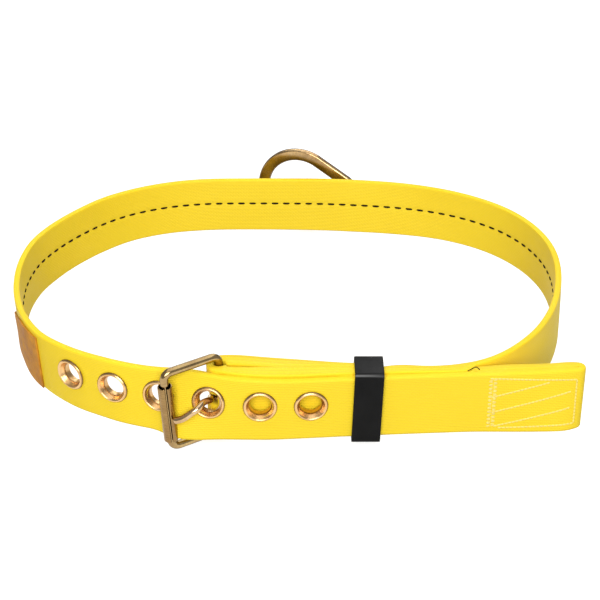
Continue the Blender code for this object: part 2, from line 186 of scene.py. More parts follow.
def spline(pegs, fine):
    """Natural cubic spline, with a point every fine mm. The bends solve one small system,
    in which each peg balances the bends on its two sides."""
    pegs = np.asarray(pegs, float)
    knots = distances(pegs)
    gap = np.diff(knots)
    count = len(pegs)
    system, target = np.eye(count), np.zeros_like(pegs)
    inner = np.arange(1, count - 1)
    system[inner, inner - 1], system[inner, inner + 1] = gap[:-1], gap[1:]
    system[inner, inner] = 2 * (gap[:-1] + gap[1:])
    slopes = np.diff(pegs, axis=0) / gap[:, None]
    target[inner] = 6 * np.diff(slopes, axis=0)
    bend = np.linalg.solve(system, target)
    at = np.linspace(0, knots[-1], int(knots[-1] / fine) + 1)
    k = np.clip(np.searchsorted(knots, at, side="right") - 1, 0, count - 2)
    h, before = gap[k][:, None], (at - knots[k])[:, None]
    after = h - before
    return ((bend[k] * after**3 + bend[k + 1] * before**3) / (6 * h)
            + (pegs[k] / h - bend[k] * h / 6) * after
            + (pegs[k + 1] / h - bend[k + 1] * h / 6) * before)


def arc(centre, radius, start, sweep, steps):
    """Points of an arc, from an angle in degrees through a sweep."""
    angles = np.radians(start + sweep * np.arange(steps + 1) / steps)
    return np.c_[centre[0] + radius * np.cos(angles), centre[1] + radius * np.sin(angles)]


def rounded_box(half_x, half_y, radius, steps):
    """Outline of a rectangle with round corners, anticlockwise from its right side."""
    corners = ((1, 1), (-1, 1), (-1, -1), (1, -1))
    return np.vstack([
        arc((sx * (half_x - radius), sy * (half_y - radius)), radius, 90 * k, 90, steps)
        for k, (sx, sy) in enumerate(corners)
    ])


def circle(radius, sides):
    return arc((0, 0), radius, 0, 360, sides)[:-1]


def upright(outline):
    """A flat outline stood up: its first number is x and its second is height."""
    return np.insert(outline, 1, 0, axis=1)


def closed(points):
    """Distances along a closed outline, back to its first point."""
    return distances(np.vstack([points, points[:1]]))


def sweep(line, profile, normal, ring=False, size=1.0):
    """A profile carried along a nearly flat line: the station, plus the profile's first
    number sideways, plus its second along the normal. size scales it by station."""
    along = np.roll(line, -1, 0) - np.roll(line, 1, 0) if ring else np.gradient(line, axis=0)
    along = unit(along)
    side = unit(np.cross(along, normal))
    up = np.cross(side, along)
    flat = profile * np.reshape(size, (-1, 1, 1))
    return line[:, None] + flat[..., :1] * side[:, None] + flat[..., 1:] * up[:, None]


def round_ends(line, radius, steps=6):
    """Adds a half ball at each end of a line: at radius * sin(a) beyond the end the size
    of the profile falls to cos(a). Returns the line and the sizes."""
    angles = np.linspace(0, math.radians(87), steps + 1)[1:]
    heads = line[0] + unit(line[0] - line[1]) * (radius * np.sin(angles))[:, None]
    tails = line[-1] + unit(line[-1] - line[-2]) * (radius * np.sin(angles))[:, None]
    size = np.r_[np.cos(angles)[::-1], np.ones(len(line)), np.cos(angles)]
    return np.vstack([heads[::-1], line, tails]), size


print("a wire of 24 sides has", len(circle(1, 24)), "columns")

# %% [markdown]
# The strap's line
#
# One strap makes the whole belt: a hem round the buckle's hinge bar, a run behind the free end to
# the right bend, the back, the left bend, the row of eyelets, and past the buckle to a folded
# tip. The pegs are its middle line in plan and how far each layer is lifted. The same pegs shape
# the solid in the frame.

# %% Bend the strap's line through its pegs
STRAP_WIDTH, STRAP_THICK = 44.5, 4.5
WIRE = 5.8
FRAME_LONG, FRAME_TALL, FRAME_CORNER = 43.6, 62.6, 5.0
FRAME_YAW, FRAME_ROLL = 28.0, 3.6  # degrees
FOLD_SLACK = 1.9

# x, y, lift
HEM_TAIL = ((44, -114.4, 2.2), (25, -113.4, 2.4), (0, -110.2, 2.4), (-25, -106.8, 2.3))
LOOP = (
    (-25, -119.4, 2.3), (0, -119, 2.4), (25, -119.2, 2.4), (44, -119.6, 2.2), (60, -118.4, 2),
    (80, -117.6, 1.5), (100, -114.2, 1), (123, -104, 0.4), (145, -84, 0.1), (162, -59.5, 0),
    (182, 0, 0), (181, 65.5, 0), (144.5, 121.5, 0), (86, 149.5, 0), (28, 157.3, 0), (-28, 159,
    0), (-89, 156, 0), (-150, 127, 0), (-190.5, 69.5, 0), (-198.6, 0, 0), (-176.5, -65, 0),
    (-124, -106, 0), (-84, -119.8, 0), (-59, -127.4, 0), (-26, -129.9, 0), (25, -126.6, 0), (77,
    -123, 0), (129, -119.9, 0),
)
TIP_AT, TIP_RADIUS = (176.6, -115.6), 3.0
TIP_TAIL = ((160, -110.9, 0), (138, -112, 0), (120, -113.9, 0), (107, -116, 0))


def turned(degrees, axis):
    """Rotation matrix about the axis Y or Z."""
    c, s = math.cos(math.radians(degrees)), math.sin(math.radians(degrees))
    return np.array({"Y": ((c, 0, s), (0, 1, 0), (-s, 0, c)),
                     "Z": ((c, -s, 0), (s, c, 0), (0, 0, 1))}[axis])


roller_bar = joint_at["roller_spin"] - drawing_at
buckle_turn = turned(FRAME_YAW, "Z") @ turned(-FRAME_ROLL, "Y")
hinge_bar = roller_bar + buckle_turn @ (FRAME_LONG - WIRE, 0, 0)
hem_radius = WIRE / 2 + FOLD_SLACK + STRAP_THICK / 2
hem_fold = arc(hinge_bar, hem_radius, 90, 180, 6)
tip_fold = arc((TIP_AT[0], TIP_AT[1] + TIP_RADIUS), TIP_RADIUS, -90, 180, 6)
route = spline(np.vstack([
    HEM_TAIL, np.c_[hem_fold, np.full(7, HEM_TAIL[-1][2])], LOOP,
    np.c_[tip_fold, np.zeros(7)], TIP_TAIL,
]), fine=0.5)
route_at = distances(route[:, :2])
route_out = unit(np.gradient(route[:, :2], axis=0))[:, ::-1] * (1, -1)
strap_long = route_at[-1]


def place_on_route(point, late, off=0.0):
    """Distance along the strap's first or second half of the place nearest to a point,
    which is looked for at an offset outside the middle."""
    away = length(route[:, :2] + route_out * off - point[:2])
    away[(route_at > strap_long / 2) != late] = np.inf
    return route_at[away.argmin()]


def on_route(at):
    """Middle of the strap and its outward direction, at distances along it."""
    return at_distances(at, route_at, route), unit(at_distances(at, route_at, route_out))


print("the strap is", round(strap_long), "mm long on its middle line")

# %% [markdown]
# How the strap leans
#
# A belt on its edge is never quite upright: its top edge leans in under the buckle and out at the
# left bend. The table says how far each edge leaves the upright, averaged over a short stretch so
# that no kink shows, and all that sits on the strap follows it. At the tip both layers lean
# together, so their outward shifts have opposite signs. Those rows come later, where the fold's
# place is known.

# %% Lean the strap
# distance along the strap, then outward shift of its top edge and of its bottom edge
LEAN = np.array((
    (215, 0, 0), (231, -3.2, -3), (246, -1.5, -1.2), (285, -0.4, 0), (340, 0.2, 0.6),
    (380, 0, 0.9), (410, -0.4, 1.1), (442, -0.7, 0.6), (485, -1.2, 0.4), (530, -0.4, 1),
    (557, -0.8, 1.1),
    (590, -0.2, 0.8), (623, 0.4, -0.9), (654, 0.8, -1.3), (686, 1.5, -0.3), (718, 0.9, 0.1),
    (750, 0.2, -0.4), (783, 0.5, -0.4), (815, 0.4, 0.9), (840, 0.5, 1.3), (864, 0.6, -0.6),
    (885, -0.6, -1.5), (906, -0.4, -1.4), (922, 0.4, -1.0), (945, 1.5, 0.5), (975, 0.8, 0.6),
    (1004, 0.2, -0.6), (1039, 0.1, -2.3), (1067, 0.6, -1.6), (1083, 1.2, -1.2), (1098, 0.1, -0.8),
    (1115, -0.6, 0), (1131, -1.5, -0.2), (1147, -1.5, 1.2), (1161, -1.5, 1.4), (1174, -2.8, 1.4),
    (1185, -5.6, 6.8), (1199, -7.6, 5.0), (1212, -5.4, 0.6), (1228, -2.8, -0.4), (1245, -0.9, 0.1),
    (1262, 0, -0.2),
))


def lean(at):
    """Outward shift of the top and bottom edges: the table, averaged over 14 mm."""
    around = np.asarray(at)[..., None] + np.linspace(-7, 7, 7)
    return [np.interp(around, LEAN[:, 0], LEAN[:, k], left=0, right=0).mean(-1) for k in (1, 2)]


def on_strap(at, height, off):
    """Points off the strap's middle: the route's point at a distance, plus the outward
    direction times the offset and the lean at that height."""
    middle, out = on_route(at)
    top, bottom = lean(at)
    reach = off + bottom + (top - bottom) * height / STRAP_WIDTH
    return np.stack([middle[..., 0] + reach * out[..., 0], middle[..., 1] + reach * out[..., 1],
                     middle[..., 2] + height], -1)


print("the top edge leans in by up to", -LEAN[:, 1].min(), "mm")

# %% [markdown]
# Where the eyelets and the sewing are
#
# The eyelets' middles are read from the frame. The sewing is written in the strap's own measures,
# the distance along it and the height on it: black stitches along the middle of the inner face,
# and on the tip, in pale thread, a dense zigzag where the folded ply ends, a box and slanting
# lines.

# %% List the eyelets and the lines of stitches
EYELETS = 6
STITCH_HEIGHT = 23.9
STITCH_PITCH, STITCH_LONG, STITCH_WIDE = 9.0, 5.9, 1.6
SEAM_STARTS_AT = (86.0, -117.0)  # where the black stitches leave the hem
SEAM_ENDS_AT = (-160.0, -80.0)  # and where they stop before the first eyelet

eyelet_boxes = np.array([
    np.add(*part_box(f"grommet_{n}")) / 2 / MM - drawing_at for n in range(1, EYELETS + 1)
])
eyelet_at = np.array([place_on_route(middle, late=True) for middle in eyelet_boxes])
eyelet_middles = on_strap(eyelet_at, eyelet_boxes[:, 2], 0)
lean_slope = np.subtract(*lean(eyelet_at)) / STRAP_WIDTH
eyelet_out = unit(np.c_[on_route(eyelet_at)[1], -lean_slope])
seam = (place_on_route(SEAM_STARTS_AT, late=False), place_on_route(SEAM_ENDS_AT, late=True))

tip_end = place_on_route((TIP_AT[0] + TIP_RADIUS, TIP_AT[1] + TIP_RADIUS), late=True)
TIP_LEAN = np.array(((-70, 0, 0), (-8, 0, 4.0), (8, 0, -4.0), (70, 0, 0)))  # from the fold
LEAN = np.vstack([LEAN, TIP_LEAN + (tip_end, 0, 0)])


def along_tip(x):
    """Distance along the strap for an x on the tip's front layer."""
    front = (route_at > strap_long / 2) & (route_at < tip_end) & (route[:, 0] > 60)
    return np.interp(x, route[front, 0], route_at[front])


# x and height of both ends of each line on the tip
TIP_LINES = np.array((
    ((120, 41.2), (175.4, 37.8)),
    ((175.4, 37.8), (175.4, 5.6)),
    ((175.4, 5.6), (127, 3.8)),
    ((121, 27), (158, 37)),
    ((122, 15.6), (172, 29.6)),
    ((124, 5), (172, 17.8)),
))
ZIGZAG_X, ZIGZAG_HEIGHTS, ZIGZAG_TURNS = (119.2, 124.8), (4.8, 40.6), 13
zigzag = np.c_[np.tile(ZIGZAG_X, ZIGZAG_TURNS), np.linspace(*ZIGZAG_HEIGHTS, ZIGZAG_TURNS * 2)]
tip_lines = np.vstack([TIP_LINES, np.stack([zigzag[:-1], zigzag[1:]], 1)])
tip_lines[..., 0] = along_tip(tip_lines[..., 0])
print("eyelets at", np.round(eyelet_at), "mm; lines on the tip:", len(tip_lines))

# %% [markdown]
# Layers that lie on each other
#
# Right of the buckle the free end, the strap behind it and the hem's tail are held together.
# Thick webbing swells into the room between them and its pressed edges turn square, so from above
# they read as one block with two hair lines. The room is how far two layers lie apart at the same
# x, less one thickness.

# %% Measure the room between the layers
HAIR = 0.02  # mm left between two pressed layers
# least and greatest x where a layer is pressed on its inner side, and mm to let go
PRESSED = {"tail": (-47.2, 46, 1.5), "back": (-46, 44, 2),
           "free": (-46, 176, 5), "fold": (100, 176, 5)}
BACK_OUTER_PRESSED = (-48, 104, 8)
EYELET_ROOM, EYELET_LOW, EYELET_HIGH = 4.5, 9, 42  # mm left free behind the eyelets' washers
BEHIND_EYELETS, ROUND_BAR = (-80, 24, 5), (-70, -47.5, 1.5)
WIDER_ROOM = (-44, -38), (9, 0)  # x, and mm more left free there
FREE_LAYER_FROM, BACK_LAYER_TO = (-66, -126), (118, -107)  # in plan
MOST = {"back": 7, "tail": 6, "fold": 3, "bar": 3}  # mm that a side may swell
BAR_GAP = 0.3

hem_at = place_on_route(hinge_bar - (hem_radius, 0, 0), late=False)
buckle_at = place_on_route(FREE_LAYER_FROM, late=True)


def layer(start, end):
    """x and distance along the strap of one layer, in order of x."""
    part = (route_at >= start) & (route_at <= end)
    order = np.argsort(route[part, 0])
    return route[part, 0][order], route_at[part][order]


free_layer = layer(buckle_at, tip_end)
back_layer = layer(hem_at, place_on_route(BACK_LAYER_TO, late=False))


def room(at, height, other):
    """Free room towards another layer, in mm."""
    here = on_strap(at, height, 0)
    there = on_strap(np.interp(here[..., 0], *other), height, 0)
    return np.abs(here[..., 1] - there[..., 1]) - STRAP_THICK


def ramp(value, run):
    """0 below 0, 1 above run, and straight in between."""
    return np.clip(value / run, 0, 1)


def within(x, low, high, soft):
    """1 between two values of x, falling to 0 over a soft border outside them."""
    return ramp(np.minimum(x - low, high - x) + soft, soft)


def parts(at):
    """Which layer each distance lies in."""
    return {"tail": at < hem_at, "back": (at >= hem_at) & (at < strap_long / 3),
            "free": (at > buckle_at) & (at < tip_end), "fold": at >= tip_end}


def pressed(at, outer):
    """1 where a side of the strap lies on another layer."""
    x = np.interp(at, route_at, route[:, 0])
    part = parts(at)
    inner = sum(part[name] * within(x, *limits) for name, limits in PRESSED.items())
    return np.where(outer, part["back"] * within(x, *BACK_OUTER_PRESSED), inner)


def swelling(at, height, outer):
    """How far a side swells, in mm, to the next layer or inside the hem to the bar."""
    x = np.interp(at, route_at, route[:, 0])
    part = parts(at)
    behind = ramp(np.minimum(height - EYELET_LOW, EYELET_HIGH - height), 4)
    washers = EYELET_ROOM + np.interp(x, *WIDER_ROOM)
    left = HAIR + behind * within(x, *BEHIND_EYELETS) * washers
    to_free, to_back = (room(at, height, other) for other in (free_layer, back_layer))
    outwards = part["back"] * np.clip(to_free - left, 0, MOST["back"])
    inwards = (part["tail"] * np.clip(to_back - HAIR, 0, MOST["tail"])
               + part["fold"] * np.clip(to_free - HAIR, 0, MOST["fold"]))
    made = np.where(outer, outwards, inwards) * pressed(at, outer)
    bar_way = buckle_turn @ (0, 0, 1) / buckle_turn[2, 2]
    bar = hinge_bar + (height - hinge_bar[2])[..., None] * bar_way
    to_bar = length((on_strap(at, height, -STRAP_THICK / 2) - bar)[..., :2]) - WIRE / 2
    round_bar = within(x, *ROUND_BAR) * (part["tail"] | part["back"]) * ~outer
    return np.maximum(made, np.clip(to_bar - BAR_GAP, 0, MOST["bar"]) * round_bar)


middle_room = room(np.array(np.interp(0, *back_layer)), np.array(40.0), free_layer)
print("room at the middle of the block:", round(float(middle_room), 1), "mm")

# %% [markdown]
# The webbing's surface
#
# Sewing pulls webbing in, an eyelet squeezes it under its flange and swells it outside, and a
# woven band is never quite even. All this is a small height over the strap's two measures, worked
# out on the whole grid at once. The stations lie close together only in the folds, at the eyelets
# and on the tip.

# %% Shape the webbing
PLAIN_STEP, FINE_STEP = 3.2, 1.1
EDGE_RADIUS, FACE_COLUMNS = 1.35, 34
TIP_CORNER, KEEPER_AT = 2.4, 42.8


def bell(value, width):
    """exp(-(value / width)^2): 1 at 0, and nearly 0 beyond two widths."""
    return np.exp(-((value / width) ** 2))


def stations():
    """Distances along the strap, closer together where there is detail."""
    at = np.linspace(0, strap_long, 3000)
    tip = (tip_lines[..., 0].min() + tip_end) / 2
    centres = np.r_[eyelet_at, hem_at, tip, tip_end + 30]
    reaches = np.r_[np.full(EYELETS, 19), 26, 36, 46]
    detail = ramp(reaches - np.abs(at[:, None] - centres), 6).max(1)
    per_mm = 1 / (PLAIN_STEP + (FINE_STEP - PLAIN_STEP) * detail)
    steps = np.r_[0, np.cumsum((per_mm[1:] + per_mm[:-1]) / 2 * np.diff(at))]
    return np.interp(np.linspace(0, steps[-1], int(steps[-1]) + 2), steps, at)


def band_profile(width, thick, radius, columns):
    """Outline of a band: outward offset and height, up the outer face and down the inner."""
    edge = arc((0, 0), radius, 0, 90, 4)[1:-1]
    heights = np.linspace(radius, width - radius, columns)
    half = thick / 2
    top = edge + (half - radius, width - radius)
    quarter = np.vstack([np.c_[np.full(columns, half), heights], top])
    inner = np.c_[-quarter[::-1, 0], quarter[::-1, 1]]
    under = np.c_[edge[::-1, 0] - (radius - half), radius - edge[::-1, 1]]
    return np.vstack([quarter, inner, np.c_[-under[::-1, 0], under[::-1, 1]], under])


def from_lines(at, height, lines):
    """Distance from every grid point to the nearest line of sewing."""
    best = np.full(np.broadcast(at, height).shape, 99.0)
    for (a0, h0), (a1, h1) in lines:
        run, rise = a1 - a0, h1 - h0
        t = np.clip(((at - a0) * run + (height - h0) * rise) / (run**2 + rise**2), 0, 1)
        best = np.minimum(best, np.hypot(at - a0 - t * run, height - h0 - t * rise))
    return best


def relief(at, height, outer):
    """How far the webbing's face stands out, in mm: a shallow crown, a slow unevenness, a
    groove along the black stitches, a dip with a raised ring at each eyelet, the sewn tip's
    quilting and two swells beside the keeper."""
    share = np.clip(height / STRAP_WIDTH, 0, 1)
    made = 0.10 * np.sin(math.pi * share) ** 0.5 - 0.06
    made += 0.05 * np.sin(at / 23.0) * np.cos(height / 9.0) + 0.04 * np.sin(at / 61.0 + 1.0)
    in_seam = ramp(at - seam[0], 6) * ramp(seam[1] - at, 6)
    made -= np.where(outer, 0.05, 0.30) * in_seam * bell(height - STITCH_HEIGHT, 1.5)
    for place, middle in zip(eyelet_at, eyelet_middles):
        away = np.hypot(at - place, height - middle[2])
        made += 0.16 * bell(away - 12.6, 1.6) - 0.10 * ramp(11.5 - away, 1.2)
    made -= 0.16 * bell(from_lines(at, height, tip_lines), 0.9)
    beside = np.abs(at - np.interp(KEEPER_AT, *free_layer)) - 11.2
    return made + np.where(outer, 0.22, 0) * bell(beside, 1.8)


strap_at = stations()
profile = band_profile(STRAP_WIDTH, STRAP_THICK, EDGE_RADIUS, FACE_COLUMNS)
tip_reach = route[:, 0].max() + STRAP_THICK / 2
beyond = np.clip(TIP_CORNER - (tip_reach - on_route(strap_at)[0][:, 0]), 0, TIP_CORNER)
squeeze = 1 - 2 * (TIP_CORNER - np.sqrt(TIP_CORNER**2 - beyond**2)) / STRAP_WIDTH
at_grid, height_grid = np.broadcast_arrays(strap_at[:, None], profile[None, :, 1])
outer_grid = np.broadcast_to(profile[None, :, 0] > 0, at_grid.shape)
mirrored = np.where(at_grid > tip_end, 2 * tip_end - at_grid, at_grid)
on_face = np.abs(profile[:, 0]) > STRAP_THICK / 2 - 0.01
rise = relief(mirrored, height_grid, outer_grid) * np.where(on_face, 1, 0.3)
square = pressed(at_grid, outer_grid)
rise = rise * (1 - square) + swelling(at_grid, height_grid, outer_grid)
offset = profile[None, :, 0] + np.where(outer_grid, rise, -rise)
half_width = STRAP_WIDTH / 2
from_edge = half_width - np.abs(height_grid - half_width)
raised = np.where(from_edge < EDGE_RADIUS, from_edge * (1 - 0.95 * square), from_edge)
heights = half_width + np.sign(height_grid - half_width) * (half_width - raised) * squeeze[:, None]
strap_grid = on_strap(at_grid, heights, offset)
print("webbing grid:", strap_grid.shape[:2], "stations by columns")

# %% [markdown]
# The webbing's finish
#
# Belt webbing is woven from fat yarns packed so tightly that only short lens-shaped humps show,
# each row half a step on from its neighbour. The UV map, metres along and across the strap, makes
# that easy: a row number from one coordinate and a hump along the row from the other. The humps
# give the bump and a little painted shade in the gaps between them, and a slow noise on the
# object's coordinates varies the yellow.

# %% Helpers for node trees, and the webbing's finish
def new_finish(name):
    made = bpy.data.materials.new(name)
    made.use_nodes = True
    return made, made.node_tree, made.node_tree.nodes["Principled BSDF"]


def fill(node, values):
    """Sets a node's inputs to values or to other nodes' outputs."""
    for name, value in values.items():
        if isinstance(value, bpy.types.NodeSocket):
            node.id_data.links.new(value, node.inputs[name])
        else:
            node.inputs[name].default_value = value


def add_node(tree, kind, values=None, **settings):
    made = tree.nodes.new(kind)
    for name, value in settings.items():
        setattr(made, name, value)
    fill(made, values or {})
    return made


def maths(tree, operation, *values):
    inputs = dict(enumerate(values))
    return add_node(tree, "ShaderNodeMath", inputs, operation=operation).outputs[0]


def hump(tree, value):
    """4 t (1 - t) of a value's fraction t: one smooth hump in each whole step."""
    part = maths(tree, "FRACT", value)
    return maths(tree, "MULTIPLY", maths(tree, "MULTIPLY", part, 4.0),
                 maths(tree, "SUBTRACT", 1.0, part))


def noise(tree, scale, detail=3.0):
    """Noise on the object's own coordinates."""
    place = add_node(tree, "ShaderNodeTexCoord").outputs["Object"]
    values = {"Vector": place, "Scale": scale, "Detail": detail}
    return add_node(tree, "ShaderNodeTexNoise", values).outputs["Fac"]


def spread(tree, value, low=0.0, high=1.0, from_low=0.3, from_high=0.7):
    """A noise's middle part stretched over a range."""
    values = {"Value": value, "From Min": from_low, "From Max": from_high,
              "To Min": low, "To Max": high}
    return add_node(tree, "ShaderNodeMapRange", values).outputs["Result"]


def blend(tree, share, one, other, mode="MIX"):
    """Two colours mixed: a Mix node's input 0 is the share of the other, its inputs 6 and 7
    and its output 2 are colours."""
    one, other = ((*c, 1) if isinstance(c, tuple) else c for c in (one, other))
    values = {0: share, 6: one, 7: other}
    return add_node(tree, "ShaderNodeMix", values, data_type="RGBA", blend_type=mode).outputs[2]


def bump(tree, shader, height, distance, strength=1.0):
    values = {"Height": height, "Distance": distance, "Strength": strength}
    fill(shader, {"Normal": add_node(tree, "ShaderNodeBump", values).outputs[0]})


YARN_WIDE, YARN_STEP = 1.25, 2.6  # mm
SHADE, LIGHT = (0.95, 0.675, 0.018), (0.98, 0.715, 0.022)

yellow_webbing, tree, shader = new_finish("yellow_webbing")
uv = add_node(tree, "ShaderNodeUVMap", uv_map="UVMap").outputs["UV"]
split = add_node(tree, "ShaderNodeSeparateXYZ", {0: uv})
row = maths(tree, "DIVIDE", split.outputs["Y"], YARN_WIDE * MM)
half_step = maths(tree, "MULTIPLY", maths(tree, "FLOOR", row), 0.5)
step = maths(tree, "ADD", maths(tree, "DIVIDE", split.outputs["X"], YARN_STEP * MM), half_step)
along_row = spread(tree, hump(tree, step), 0.45, 1.0, 0.0, 0.8)
yarn = maths(tree, "MULTIPLY", hump(tree, row), along_row)
colour = blend(tree, spread(tree, noise(tree, 14.0)), SHADE, LIGHT)
# painted shade: the colour darkens by up to an eighth in the gaps between the yarn humps
painted_weave_shade = blend(tree, spread(tree, yarn, 0.88, 1.0, 0.0, 0.5), (0, 0, 0), (1, 1, 1))
fill(shader, {
    "Base Color": blend(tree, 1.0, colour, painted_weave_shade, "MULTIPLY"),
    "Roughness": spread(tree, noise(tree, 30.0), 0.5, 0.66),
    "Specular IOR Level": 0.22, "Sheen Weight": 0.06, "Sheen Roughness": 0.4,
    "Sheen Tint": (1.0, 0.80, 0.25, 1),
})
bump(tree, shader, yarn, 0.00016)

strap = skin("webbing", strap_grid, yellow_webbing,
             along=strap_at, across=closed(profile))
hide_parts("webbing_strap")
print("webbing faces:", len(strap.data.polygons))

# %% [markdown]
# Holes
#
# Each eyelet needs a hole through the strap, and the tongue's hook needs a slot in the hem. The
# holes could be worked into the grid's lines, but the band is a closed skin, so Boolean cuts with
# short closed drums are exact and simple. They are applied together, and the drums are taken away
# again.

# %% Cut the holes
HOLE_RADIUS, HOLE_REACH = 7.9, 4.0
SLOT = (22.0, 18.0, 7.8)  # long, deep and tall
TONGUE_HEIGHT = 23.4


def rays(axis, sides):
    """Unit spokes square to an axis: one level, the other one up and square to both."""
    level = unit(np.cross(axis, (0, 0, 1)))
    flat = circle(1, sides)
    return flat[:, :1] * level + flat[:, 1:] * np.cross(level, axis)


def drum(middle, axis, radius, reach, sides):
    """A short cylinder: a circle square to an axis, moved each way."""
    around = middle + radius * rays(axis, sides)
    return np.stack([around - axis * reach, around + axis * reach])


def cut_with(piece, grids):
    """Cuts closed grids out of a piece, one Boolean each, and keeps only the result."""
    cutters = [skin("cutter", grid, yellow_webbing) for grid in grids]
    for cutter in cutters:
        trim = piece.modifiers.new("cut", "BOOLEAN")
        trim.object = cutter
        trim.operation = "DIFFERENCE"
    graph = bpy.context.evaluated_depsgraph_get()
    piece.data = bpy.data.meshes.new_from_object(piece.evaluated_get(graph))
    piece.modifiers.clear()
    for cutter in cutters:
        bpy.data.objects.remove(cutter)


drums = [drum(middle, axis, HOLE_RADIUS, HOLE_REACH, 48)
         for middle, axis in zip(eyelet_middles, eyelet_out)]
slot_middle = np.array((hinge_bar[0] - WIRE / 2, hinge_bar[1], TONGUE_HEIGHT))
slot_outline = rounded_box(SLOT[0] / 2, SLOT[2] / 2, SLOT[2] / 2 - 0.2, 8)
slot_ring = slot_middle + upright(slot_outline)
slot_deep = np.array((0, SLOT[1] / 2, 0))
cut_with(strap, [*drums, np.stack([slot_ring - slot_deep, slot_ring + slot_deep])])
print("webbing faces after the cuts:", len(strap.data.polygons))

# %% [markdown]
# Stitches
#
# A stitch is a short bent length of thread that dives into the cloth at both ends. Hundreds of
# them need a light shape: a few rings of eight points, thick in the middle and sunk at the ends.
# A seam is one array, its places times the rings of one stitch.

# %% A helper that sews a seam
def sew(name, places, directions, normals, long, wide, finish):
    """Stitches at places, along their directions on a face with those normals. Along a
    stitch t runs from -1 to 1: its girth follows the square root of 1 - t^4, and it sinks
    by t^4 towards its ends."""
    t = np.array((-0.99, -0.8, -0.4, 0.0, 0.4, 0.8, 0.99))
    angles = np.arange(8) * math.pi / 4
    girth = np.sqrt(1 - t**4)[:, None]
    aside = girth * np.cos(angles) * wide / 2
    above = girth * np.sin(angles) * wide * 0.36 + (0.14 - 0.36 * t[:, None] ** 4) * wide
    ways, normals = unit(directions)[:, None, None], unit(normals)[:, None, None]
    points = (places[:, None, None] + ways * (t * long / 2)[:, None, None]
              + np.cross(ways, normals) * aside[..., None] + normals * above[..., None])
    points = (points.reshape(-1, 3) + drawing_at) * MM
    faces, _, _ = quads(len(t), 8, False)
    count = len(t) * 8
    ends = np.array([np.arange(8)[::-1], np.arange(8) + count - 8])
    if volume(points[:count], faces) < 0:
        faces, ends = faces[:, ::-1], ends[:, ::-1]
    start = (np.arange(len(places)) * count)[:, None, None]
    polygons = (faces + start).reshape(-1, 4).tolist() + (ends + start).reshape(-1, 8).tolist()
    return add_piece(name, points, polygons, "belt", finish)


def thread_finish(name, colour, roughness):
    """Twisted thread: a fine noise in its shade and its bump."""
    made, tree, shader = new_finish(name)
    grain = noise(tree, 900.0, 2.0)
    dark = tuple(c * 0.85 for c in colour)
    fill(shader, {"Base Color": blend(tree, spread(tree, grain), dark, colour),
                  "Roughness": roughness, "Specular IOR Level": 0.1})
    bump(tree, shader, grain, 0.0001)
    return made


def face_points(at, height, outer):
    """Points on the webbing's outer or inner face, with their outward normals."""
    sign = 1.0 if outer else -1.0
    real = np.where(at > tip_end, 2 * tip_end - at, at)
    points = on_strap(at, height, sign * (STRAP_THICK / 2 + relief(real, height, outer)))
    slope = np.subtract(*lean(at)) / STRAP_WIDTH
    return points, sign * unit(np.c_[on_route(at)[1], -slope])


def sew_on_strap(name, places, ways, outer, *thread):
    """Stitches at places in the strap's own two measures, along ways in the same."""
    here, normals = face_points(*places.T, outer)
    there, _ = face_points(*(places + ways).T, outer)
    sew(name, here, there - here, normals, *thread)


black_thread = thread_finish("black_thread", (0.014, 0.007, 0.004), 0.9)
pale_thread = thread_finish("pale_thread", (0.98, 0.78, 0.20), 0.6)
seam_at = np.arange(*seam, STITCH_PITCH)
seam_places = np.c_[seam_at, np.full(len(seam_at), STITCH_HEIGHT)]
sew_on_strap("centre_stitches", seam_places, (1, 0), False, STITCH_LONG, STITCH_WIDE, black_thread)
print("black stitches:", len(seam_at))

# %% [markdown]
# The sewn tip
#
# The tip's stitches go through both layers of the fold. Each line is divided into even stitches,
# and mirroring their distance about the fold puts them on the folded layer too. One loose end of
# dark thread stands up where the folded ply ends, as in the photograph.

# %% Sew the tip
TIP_STITCH, TIP_THREAD, TIP_OVERLAP = 2.4, 1.3, 1.12
LOOSE_THREAD = ((105.9, -118.3, 44.4), (108.8, -117.2, 45.2), (111.3, -116.6, 46),
                (113.8, -117.2, 44.4))


def stitch_line(line, pitch):
    """Even places along a line of sewing, and its direction at each."""
    start, end = line
    count = max(1, round(np.linalg.norm(end - start) / pitch))
    t = (np.arange(count) + 0.5)[:, None] / count
    return start + (end - start) * t, np.repeat((end - start)[None], count, 0)


sewn = [stitch_line(line, TIP_STITCH) for line in tip_lines]
tip_places = np.vstack([places for places, _ in sewn])
tip_ways = unit(np.vstack([ways for _, ways in sewn]))
for name, fold, mirror in (
    ("tip_stitches_front", 0, (1, 1)), ("tip_stitches_back", 2 * tip_end, (-1, 1)),
):
    sew_on_strap(name, tip_places * mirror + (fold, 0), tip_ways * mirror, True,
                 TIP_STITCH * TIP_OVERLAP, TIP_THREAD, pale_thread)
thread_line = spline(LOOSE_THREAD, fine=0.3)
skin("loose_thread", sweep(thread_line, circle(0.28, 8), (0, 1, 0)), black_thread)
print("stitches on each side of the tip:", len(tip_places))

# %% [markdown]
# The buckle's metal
#
# The thin brass plating has browned with age. A round bar mirrors the lamps along its upper side
# and the floor along its lower side, so its look comes from a clean gloss and a dark colour. Fine
# polishing marks are a noise over the piece's UV map, stretched round the wire. Each piece stores
# an amount at its points that darkens it: patina inside the roller's tube, and painted shade at
# the back and underneath of the wire and the ring and at each eyelet's rim, lip and barrel. One
# function makes all the brass and the ring's bronze.

# %% Make the metals
def patina_and_painted_light_of(tree):
    """The amount of patina, painted shade or painted highlight stored at each point of a piece."""
    return add_node(tree, "ShaderNodeAttribute", attribute_name="patina_and_painted_light").outputs["Fac"]


